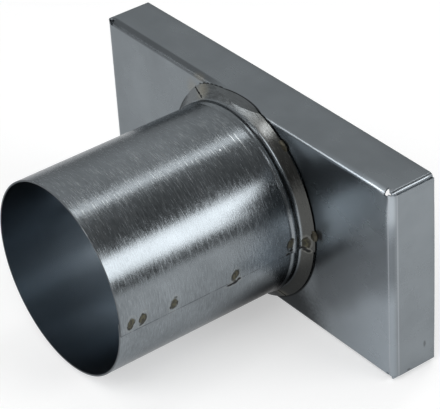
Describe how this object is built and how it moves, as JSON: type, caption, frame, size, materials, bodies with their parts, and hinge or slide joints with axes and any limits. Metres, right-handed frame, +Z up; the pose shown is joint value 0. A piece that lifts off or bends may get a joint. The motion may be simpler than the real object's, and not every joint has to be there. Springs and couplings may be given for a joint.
{
  "type": "duct cover with spigot",
  "caption": "Folded rectangular sheet-metal cover with a rolled round spigot on its face, which joins a round duct to the side or end of a flat rectangular one.",
  "frame": {"origin": "where the spigot's axis meets the outer plane of the cover's face", "axes": "-Y out of the spigot's mouth, +Y towards the cover's open back, X along the cover's width, +Z up"},
  "size_m": [0.22, 0.134, 0.1064],
  "materials": {
    "cover_sheet": "galvanised sheet, folded, lightly smudged",
    "spigot_sheet": "galvanised sheet, rolled, with spot-weld marks"
  },
  "bodies": {
    "root": {"cover": "cover_sheet", "spigot": "spigot_sheet"}
  },
  "joints": []
}
